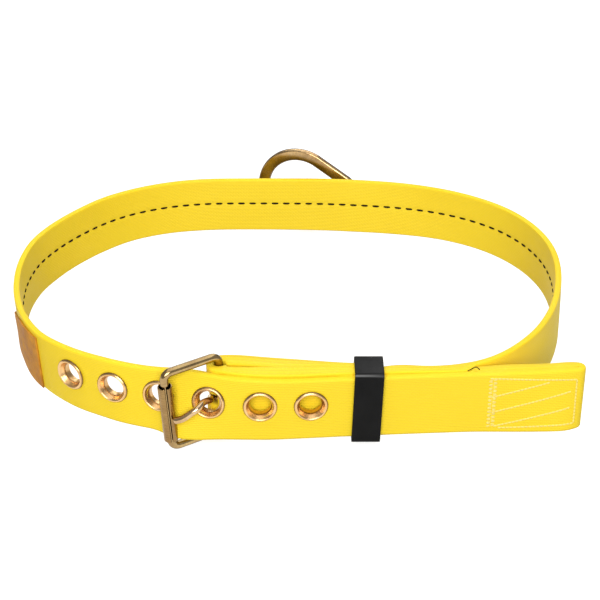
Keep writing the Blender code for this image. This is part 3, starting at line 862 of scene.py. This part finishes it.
def metal_finish(name, pale, deep, smooth, worn, marks):
    """Plated metal. smooth and worn are the limits of its roughness, and marks is how
    strongly the polishing shows in its shade."""
    made, tree, shader = new_finish(name)
    uv = add_node(tree, "ShaderNodeUVMap", uv_map="UVMap").outputs["UV"]
    stretch = {"Vector": uv, "Scale": (1.0, 0.12, 1.0)}
    fine = add_node(tree, "ShaderNodeMapping", stretch).outputs[0]
    brushed = {"Vector": fine, "Scale": 1500.0, "Detail": 1.0}
    lines = add_node(tree, "ShaderNodeTexNoise", brushed).outputs["Fac"]
    colour = blend(tree, spread(tree, noise(tree, 70.0)), deep, pale)
    shade = blend(tree, spread(tree, lines, 1 - marks * 2, 1.0), (0, 0, 0), (1, 1, 1))
    colour = blend(tree, 1.0, colour, shade, "MULTIPLY")
    # the stored amount darkens towards this brown: patina in the roller, painted shade elsewhere
    shade_and_patina_colour = tuple(c * 0.22 for c in deep)
    fill(shader, {
        "Base Color": blend(tree, patina_and_painted_light_of(tree), colour, shade_and_patina_colour), "Metallic": 1.0,
        "Roughness": spread(tree, noise(tree, 160.0, 2.0), smooth, worn),
    })
    return made


def patina_and_painted_light(piece, amounts):
    """Stores an amount at every point of a piece: patina inside the roller, painted shade on the
    wire, the ring and the eyelets, and a painted highlight on the keeper.
    """
    made = piece.data.attributes.new("patina_and_painted_light", "FLOAT", "POINT")
    made.data.foreach_set("value", np.ascontiguousarray(amounts, np.float32).ravel())


def paint_shade_behind(piece, grid, line):
    """Paints shade on a bent wire at its back and underneath, by the cosine between a point's
    direction from the wire's line and the front upper side, which is left unshaded."""
    toward_unshaded = unit(grid - line[:, None]) @ UNSHADED_SIDE
    patina_and_painted_light(piece, BACK_SHADE * ramp(BACK_SHADE_FROM - toward_unshaded, BACK_SHADE_SOFT))


# painted shade: wire and ring are drawn darker where they face away from the front and up
UNSHADED_SIDE = (0, -0.86, 0.5)
BACK_SHADE, BACK_SHADE_FROM, BACK_SHADE_SOFT = 0.8, 0.62, 0.25
METALS = {  # clean colour, tarnished colour, roughness where clean and where worn, marks
    "frame_brass": ((0.56, 0.40, 0.18), (0.34, 0.22, 0.10), 0.10, 0.22, 0.10),
    "roller_brass": ((0.38, 0.25, 0.10), (0.27, 0.16, 0.065), 0.18, 0.32, 0.10),
    "tongue_brass": ((0.66, 0.47, 0.27), (0.44, 0.27, 0.13), 0.10, 0.2, 0.05),
    "eyelet_brass": ((0.82, 0.55, 0.26), (0.66, 0.39, 0.16), 0.24, 0.36, 0.05),
    "ring_bronze": ((0.70, 0.49, 0.25), (0.44, 0.28, 0.13), 0.16, 0.32, 0.10),
}
metal = {name: metal_finish(name, *look) for name, look in METALS.items()}
print("metals:", *metal)

# %% [markdown]
# The buckle's frame
#
# The frame is one length of round wire: a circle carried round a rectangle with round corners,
# in the plane that the buckle has in the photograph. Wire flattens a little in a tight bend, so
# the circle is 4 per cent smaller there.

# %% Bend the frame
wire_half = np.array((FRAME_LONG - WIRE, FRAME_TALL - WIRE)) / 2
wire_outline = rounded_box(*wire_half, FRAME_CORNER, 14) + (wire_half[0], 0)


def evened(line, step):
    """The same closed line with stations at an even step."""
    whole = np.vstack([line, line[:1]])
    at = distances(whole)
    keep = np.r_[True, np.diff(at) > 1e-6]
    even = np.linspace(0, at[-1], int(at[-1] / step) + 1)[:-1]
    return at_distances(even, at[keep], whole[keep])


wire_even = evened(upright(wire_outline), 1.0)
past = np.abs(wire_even[:, ::2] - (wire_half[0], 0)) - wire_half + FRAME_CORNER
in_corner = length(np.clip(past, 0, None)) > FRAME_CORNER * 0.98
wire_size = 1 - 0.04 * in_corner
wire_round = circle(WIRE / 2, 28)
wire_placed = wire_even @ buckle_turn.T + roller_bar
frame_grid = sweep(wire_placed, wire_round, buckle_turn @ (0, 1, 0), ring=True, size=wire_size)
buckle = skin("buckle_wire", frame_grid, metal["frame_brass"], ring=True,
              along=closed(wire_even), across=closed(wire_round))
# painted shade at the back and underneath of the frame's wire
paint_shade_behind(buckle, frame_grid, wire_placed)
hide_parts("buckle_frame")
print("frame stations:", len(wire_even))

# %% [markdown]
# The roller
#
# The roller is sheet rolled into a tube, whose long edges meet in an open seam. So its section is
# not a ring but a nearly closed C with round lips, carried straight along the bar. The seam looks
# almost straight at the camera.

# %% Roll the roller
ROLLER_OUTER, ROLLER_WALL, ROLLER_LONG, ROLLER_DROP = 9.3, 0.9, 41.5, 1.4
SEAM_TURN = -104.0  # degrees round the bar from the frame's own plane
SEAM_OPEN = 6.5  # degrees each side of the seam
EDGE_LONG, EDGE_IN = 0.3, 0.22  # mm over which its ends are rounded, and how far in

edge = SEAM_OPEN + math.degrees(ROLLER_WALL / ROLLER_OUTER)
mean_radius = (ROLLER_OUTER - ROLLER_WALL) / 2
outside = arc((0, 0), ROLLER_OUTER / 2, SEAM_TURN + edge, 360 - 2 * edge, 56)
inside = arc((0, 0), ROLLER_OUTER / 2 - ROLLER_WALL, SEAM_TURN - edge, 2 * edge - 360, 56)
lips = arc((0, 0), mean_radius, SEAM_TURN - SEAM_OPEN, 2 * SEAM_OPEN, 1)
c_section = np.vstack([outside, lips[:1], inside, lips[1:]])
half = ROLLER_LONG / 2
rolled_end = np.array((0, 0.08, EDGE_LONG))
plain_heights = np.linspace(1 - half, half - 1, 12)
roller_heights = np.r_[rolled_end - half, plain_heights, half - rolled_end[::-1]]
edge_in = ramp(EDGE_LONG - half + np.abs(roller_heights), EDGE_LONG) ** 2 * EDGE_IN
radii = length(c_section)
thinner = (radii - mean_radius)[None] * (1 - edge_in[:, None] / (ROLLER_WALL / 2)) + mean_radius
tube = unit(c_section)[None] * thinner[..., None]
levels = np.broadcast_to(roller_heights[:, None, None] - ROLLER_DROP, (*tube.shape[:2], 1))
roller_grid = np.concatenate([tube, levels], -1) @ buckle_turn.T + roller_bar
roller = skin("roller_tube", roller_grid, metal["roller_brass"], body="roller",
              along=np.r_[roller_heights, half], across=closed(c_section))
inside_tube = ramp(mean_radius + 0.1 - radii, 0.3)
patina_and_painted_light(roller, np.broadcast_to(inside_tube, roller_grid.shape[:2]))
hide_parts("buckle_roller")
print("roller grid:", roller_grid.shape[:2])

# %% [markdown]
# The tongue
#
# The tongue is a thinner wire, hooked round the hinge bar. Its shank comes out through the fourth
# eyelet, and its rounded tip, hammered a little thicker, lies on the roller. Its line is the same
# spline as in the frame.

# %% Bend the tongue
TONGUE_WIRE, TONGUE_HOOK = 4.3, 5.4
TONGUE_OPENS, TONGUE_LEAVES = -110.0, 157.0  # degrees round the hinge bar
TONGUE_EYELET = 4
# outwards, right and up from the eyelet's middle, then x, y and up from the roller's bar
SHANK_IN_EYELET = np.array(((-0.6, 0.3, 0.6), (4.0, -2.4, 1.0)))
SHANK_ON_ROLLER = ((19, -4.6, 4.6), (15.1, -5.6, 2.2), (9.9, -5.8, -1.7), (5.6, -5, -3.7))

hook = arc(hinge_bar, TONGUE_HOOK, TONGUE_OPENS, TONGUE_LEAVES - TONGUE_OPENS, 9)
hook = np.c_[hook, np.full(len(hook), TONGUE_HEIGHT)]
eyelet, eyelet_way = eyelet_middles[TONGUE_EYELET - 1], eyelet_out[TONGUE_EYELET - 1]
in_eyelet = eyelet + SHANK_IN_EYELET[:, :1] * eyelet_way + upright(SHANK_IN_EYELET[:, 1:])
tongue_line = spline(np.vstack([hook, in_eyelet, roller_bar + SHANK_ON_ROLLER]), fine=0.8)
tongue_line, tongue_size = round_ends(tongue_line, TONGUE_WIRE * 0.45)
swell = np.interp(np.arange(len(tongue_line)) / len(tongue_line), (0.6, 1), (1, 1.08))
tongue_round = circle(TONGUE_WIRE / 2, 24)
tongue_grid = sweep(tongue_line, tongue_round, (0, 0, 1), size=tongue_size * swell)
tongue = skin("tongue_wire", tongue_grid, metal["tongue_brass"],
              along=closed(tongue_line), across=closed(tongue_round))
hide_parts("buckle_tongue")
print("tongue length:", round(distances(tongue_line)[-1]), "mm")

# %% [markdown]
# The eyelets
#
# An eyelet is pressed from thin sheet. A domed flange with a curled rim runs down a wide slope
# into a barrel, and the slope catches the light from above as a bright crescent. Behind the
# cloth the barrel is rolled over a washer. So the section is a short closed spline, turned
# round the hole.

# %% Turn the eyelets
# radius and height, from inside the barrel at the back, over the dome to the rim and back
EYELET_SECTION = np.array((
    (6.9, -3), (6.85, -2), (6.85, -0.2), (7.05, 0.8), (7.7, 1.9), (8.4, 2.95), (9, 3.75),
    (9.5, 4.02), (10.1, 3.75), (10.6, 3.3), (10.9, 2.85), (10.8, 2.45), (10.2, 2.38), (9, 2.55),
    (8.2, 2.5), (7.75, 1.8), (7.7, -1.8), (8.1, -2.45), (10, -2.5), (10.7, -2.7), (10.75, -3.1),
    (10, -3.5), (9, -3.65), (8.2, -4.1), (7.5, -4.2), (7.05, -3.8),
))
# painted shade: how much darker each eyelet is drawn at its rim's curl, its lip and down its
# barrel
RIM_PAINTED_SHADE, LIP_PAINTED_SHADE, BARREL_PAINTED_SHADE = 0.85, 0.45, 0.15

# a smooth closed curve is the middle one of three rounds of a spline
rounds = np.vstack([EYELET_SECTION] * 3 + [EYELET_SECTION[:1]])
section = spline(rounds, fine=distances(rounds)[-1] / 3 / 84)[84:168]
radius, height = section.T
rim = bell(radius - 10.75, 0.38) * (height > 0)
lip = bell(height - 0.3, 0.4) * (radius < 7.3)
barrel = ramp(7.1 - radius, 0.15) * ramp(-0.4 - height, 1)
eyelet_painted_shade = np.clip(RIM_PAINTED_SHADE * rim + LIP_PAINTED_SHADE * lip + BARREL_PAINTED_SHADE * barrel, 0, 1)
for number in range(EYELETS):
    spokes = rays(eyelet_out[number], 64)
    grid = (eyelet_middles[number] + section[None, :, :1] * spokes[:, None]
            + section[None, :, 1:] * eyelet_out[number])
    eyelet_piece = skin(f"eyelet_{number + 1}", grid, metal["eyelet_brass"], ring=True,
                        along=np.arange(65) * 0.9, across=closed(section))
    # stores the painted shade of the rim, lip and barrel
    patina_and_painted_light(eyelet_piece, np.broadcast_to(eyelet_painted_shade, grid.shape[:2]))
    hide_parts(f"grommet_{number + 1}")
print("eyelets:", EYELETS, "of", len(section) * 64, "faces each")

# %% [markdown]
# The D ring
#
# The ring is bent from flat-sided bar: a straight side, two legs that spread a little and a
# round bow. It hangs in its loop by the straight side and has swung to the left. Its section is
# a rectangle with round corners, and a low swelling shows the weld.

# %% Bend the D ring
RING_WIDE, RING_DEEP, RING_EDGE = 9.3, 4.8, 1.5
RING_BAR_HALF, RING_BOW, RING_LONG, RING_CORNER = 18.4, 30.0, 40.0, 5.1
RING_SWING, RING_RISE = 72.8, 10.0  # degrees

ring_middle = joint_at["ring_swing"] - drawing_at
legs = math.degrees(math.asin((RING_BOW - RING_BAR_HALF) / RING_LONG))
bow = arc((RING_LONG, 0), RING_BOW, 90 + legs, -180 - 2 * legs, 60)
corner = arc((RING_CORNER, RING_BAR_HALF - RING_CORNER), RING_CORNER, 180, legs - 90, 10)
d_outline = np.vstack([corner, bow, corner[::-1] * (1, -1)])
d_line = evened(upright(d_outline), 1.2)
ring_turn = turned(90 + RING_SWING, "Z") @ turned(-RING_RISE, "Y")
weld = bell(d_line[:, 2], 2.2) * (d_line[:, 0] < 1)
d_placed = d_line @ ring_turn.T + ring_middle
ring_profile = rounded_box(RING_WIDE / 2, RING_DEEP / 2, RING_EDGE, 5)
ring_grid = sweep(d_placed, ring_profile, ring_turn @ (0, 1, 0), ring=True, size=1 + 0.025 * weld)
d_ring = skin("dee_ring", ring_grid, metal["ring_bronze"], "ring", ring=True,
              along=closed(d_line), across=closed(ring_profile))
# painted shade at the back and underneath of the ring
paint_shade_behind(d_ring, ring_grid, d_placed)
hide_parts("d_ring")
print("D ring line:", round(distances(d_placed)[-1]), "mm")

# %% [markdown]
# The D ring's webbing loop
#
# A narrower webbing loop holds the ring's bar against the belt. The photograph hides it, so it is
# plain: up one foot, round the bar and down the other, in the strap's weave, with black stitches
# on each foot.

# %% Fold the ring's loop
LOOP_WIDTH, LOOP_THICK, LOOP_INNER = 24.6, 2.5, 7.8
LOOP_WRAP, LOOP_FEET, LOOP_HEIGHT = 32.0, (-24, -15, 15, 24), 19.7
RING_OFF, SEWN_GAP = 8.8, 0.35
FOOT_ROWS = np.array((3.5, 8.5))  # mm from the loop's ends
RUNG_HEIGHTS, RUNG_LONG, RUNG_WIDE = np.arange(-9.1, 9.2, 2.6), 2.3, 0.9

bar_at = place_on_route(ring_middle, late=False)
bar_out = np.r_[on_route(np.array([bar_at]))[1][0], 0]
bar_along = np.cross((0, 0, 1), bar_out)
loop_radius = LOOP_INNER + LOOP_THICK / 2
foot = SEWN_GAP + LOOP_THICK / 2 - RING_OFF
outer_face = route[:, :2] + route_out * STRAP_THICK / 2


def foot_point(aside):
    """A point of the loop's foot, which follows the strap's bend."""
    beside = ring_middle + bar_along * aside
    nearest = outer_face[length(outer_face - beside[:2]).argmin()]
    drop = (nearest - ring_middle[:2]) @ bar_out[:2] + RING_OFF
    return beside + bar_out * (foot + drop)


wrap = arc((0, 0), loop_radius, 180 + LOOP_WRAP, -180 - 2 * LOOP_WRAP, 11)
wrapped = ring_middle + wrap[:, :1] * bar_along + wrap[:, 1:] * bar_out
feet = [foot_point(aside) for aside in LOOP_FEET]
loop_pegs = np.vstack([*feet[:2], wrapped, *feet[2:]])
loop_pegs[:, 2] = LOOP_HEIGHT
loop_line = spline(loop_pegs, fine=0.9)
loop_profile = rounded_box(LOOP_THICK / 2, LOOP_WIDTH / 2, 0.8, 4)
loop_grid = sweep(loop_line, loop_profile, (0, 0, 1))
loop_at = distances(loop_line)
ring_holder = skin("ring_webbing", loop_grid, yellow_webbing,
                   along=loop_at, across=closed(loop_profile))
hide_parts("ring_loop")
foot_rows = np.r_[FOOT_ROWS, loop_at[-1] - FOOT_ROWS[::-1]]
row_places = at_distances(foot_rows, loop_at, loop_line)
rows_ahead = at_distances(foot_rows + 0.5, loop_at, loop_line)
row_out = unit(np.cross(rows_ahead - row_places, (0, 0, 1)))
row_out *= np.sign(row_out @ bar_out)[:, None]
rungs = RUNG_HEIGHTS[:, None] * (0, 0, 1)
foot_places = ((row_places + row_out * LOOP_THICK / 2)[:, None] + rungs).reshape(-1, 3)
upwards = np.tile((0.0, 0.0, 1.0), (len(foot_places), 1))
rung_normals = np.repeat(row_out, len(rungs), 0)
sew("loop_stitches", foot_places, upwards, rung_normals, RUNG_LONG, RUNG_WIDE, black_thread)
print("loop length:", round(loop_at[-1]), "mm")

# %% [markdown]
# The keeper
#
# The keeper is a moulded black loop that slides along the strap and holds the free end: a flat
# band carried round a rounded rectangle. It leans by a millimetre or so, as loose keepers do, and
# a pale line painted along its upper front edge stands in for the highlight there.

# %% Mould the keeper
KEEPER_LONG, KEEPER_WALL, KEEPER_ROUND = 18.4, 2.0, 1.3
KEEPER_BOX = ((-131.4, -2.6), (-107.6, 49.6))
KEEPER_LEAN = 1.6
# painted highlight: a pale line this far in from the upper front corner, and this wide
HIGHLIGHT_IN, HIGHLIGHT_WIDE = 0.3, 0.55

(front, low), (back, high) = KEEPER_BOX
keeper_outline = rounded_box((back - front - KEEPER_WALL) / 2, (high - low - KEEPER_WALL) / 2,
                             KEEPER_ROUND, 8) + ((front + back) / 2, (low + high) / 2)
keeper_line = evened(np.c_[np.zeros(len(keeper_outline)), keeper_outline], 0.7)
keeper_line[:, 0] = KEEPER_AT + KEEPER_LEAN * ((keeper_line[:, 2] - low) / (high - low) - 0.5)
keeper_profile = rounded_box(KEEPER_WALL / 2, KEEPER_LONG / 2, 0.55, 4)
keeper_grid = sweep(keeper_line, keeper_profile, (1, 0, 0), ring=True)

black_rubber, tree, shader = new_finish("keeper_rubber")
clouds = spread(tree, noise(tree, 60.0))
colour = blend(tree, clouds, (0.003, 0.003, 0.003), (0.007, 0.007, 0.007))
# the pale grey is the painted highlight along the upper front edge
fill(shader, {
    "Base Color": blend(tree, patina_and_painted_light_of(tree), colour, (0.40, 0.40, 0.39)),
    "Roughness": spread(tree, noise(tree, 90.0), 0.34, 0.50), "Specular IOR Level": 0.08,
})
bump(tree, shader, noise(tree, 1500.0, 2.0), 0.00005)

keeper = skin("keeper_band", keeper_grid, black_rubber, ring=True)
painted_highlight_line = (front + HIGHLIGHT_IN, high - HIGHLIGHT_IN)
# stores the painted highlight along the upper front edge
patina_and_painted_light(keeper, bell(length(keeper_grid[..., 1:] - painted_highlight_line), HIGHLIGHT_WIDE))
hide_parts("keeper")
print("keeper stations:", len(keeper_line))

# %% [markdown]
# The leather patch
#
# Orange-brown leather covers the left bend, where the belt rubs. It follows the strap's line,
# moved out by half of both thicknesses, with a rounded band for a profile, and its upper edge
# falls towards the back by the square root of the distance. Leather has a grain of small cells,
# a Voronoi pattern, and noise gives its cloudy colour and darker stains.

# %% Lay the patch
PATCH_THICK, PATCH_LONG, PATCH_LOW, PATCH_HIGH = 1.1, 88.0, 0.5, 41.2
PATCH_ENDS_AT, PATCH_FALL = (-171, -73), 60  # in plan; mm over which the upper edge falls

patch_off = (STRAP_THICK + PATCH_THICK) / 2 + 0.15
patch_end = place_on_route(PATCH_ENDS_AT, late=True, off=patch_off)
patch_at = np.arange(patch_end - PATCH_LONG, patch_end + 0.01, 1.4)
patch_profile = band_profile(PATCH_HIGH - PATCH_LOW, PATCH_THICK, 0.5, 30)
patch_tall = np.clip((patch_at - patch_at[0]) / PATCH_FALL, 0.002, 1) ** 0.5
patch_side, patch_up = patch_profile.T[:, None]
patch_wave = 0.10 * np.sin(patch_at[:, None] / 7.0) * np.cos(patch_up / 6.0)
patch_offset = patch_off + patch_side + np.where(patch_side > 0, patch_wave, 0)
patch_heights = PATCH_LOW + patch_up * patch_tall[:, None]
patch_grid = on_strap(patch_at[:, None], patch_heights, patch_offset)

leather, tree, shader = new_finish("patch_leather")
place = add_node(tree, "ShaderNodeTexCoord").outputs["Object"]
cells = add_node(tree, "ShaderNodeTexVoronoi", {"Vector": place, "Scale": 900.0},
                 feature="DISTANCE_TO_EDGE")
clouds = spread(tree, noise(tree, 110.0, 5.0))
colour = blend(tree, clouds, (0.46, 0.165, 0.012), (0.76, 0.345, 0.030))
stains = spread(tree, noise(tree, 38.0), 0.0, 0.55, 0.52, 0.72)
fill(shader, {
    "Base Color": blend(tree, stains, colour, (0.33, 0.11, 0.012)),
    "Roughness": spread(tree, clouds, 0.5, 0.7, 0.0, 1.0), "Specular IOR Level": 0.18,
})
bump(tree, shader, cells.outputs["Distance"], 0.0006, 0.6)

patch = skin("patch_skin", patch_grid, leather)
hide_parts("leather_patch")
print("patch from", round(patch_at[0]), "to", round(patch_at[-1]), "mm along the strap")

# %% [markdown]
# Light
#
# The photograph is lit softly from the front on a white ground: faces towards the camera are the
# brightest, and the inner faces of both bends are a darker mustard. A wide lamp stands low in
# front and a weaker one hangs above. Metal that faces up mirrors a long narrow one far behind, as
# the cream band along the wire and the crescent in each eyelet. The floor glows like a light
# table, but gives no diffuse light, which would flatten the belt from below.

# %% Light the belt
# name, place in mm, width and depth in mm, watts
LIGHTS = (
    ("key", (-60, -1750, 1050), (1300, 1000), 34.0),
    ("overhead", (0, 200, 1600), (1700, 2200), 14.0),
    ("behind", (0, 1500, 1000), (1700, 500), 8.0),
)
SKY = (0.36, 0.36, 0.365)
AIM = (0.0, 0.0, 0.02)

for name, place, size, watts in LIGHTS:
    lamp = bpy.data.lights.new(name, "AREA")
    lamp.shape = "RECTANGLE"
    lamp.size, lamp.size_y = (s * MM for s in size)
    lamp.energy = watts
    light = show(name, lamp)
    light.location = np.array(place) * MM
    towards = unit(np.array(AIM) - light.location)
    turn = math.atan2(towards[0], -towards[1]) + math.pi
    light.rotation_euler = (math.acos(-towards[2]), 0, turn)

world = bpy.data.worlds.new("studio")
world.use_nodes = True
world.node_tree.nodes["Background"].inputs["Color"].default_value = (*SKY, 1)
bpy.context.scene.world = world

floor_finish, _, floor_shader = new_finish("floor_paper")
fill(floor_shader, {"Base Color": (0.55, 0.55, 0.55, 1), "Roughness": 0.9,
                    "Emission Color": (1, 1, 1, 1), "Emission Strength": 0.72})
floor_mesh.materials.append(floor_finish)
floor.visible_diffuse = False
print("lights:", len(LIGHTS))
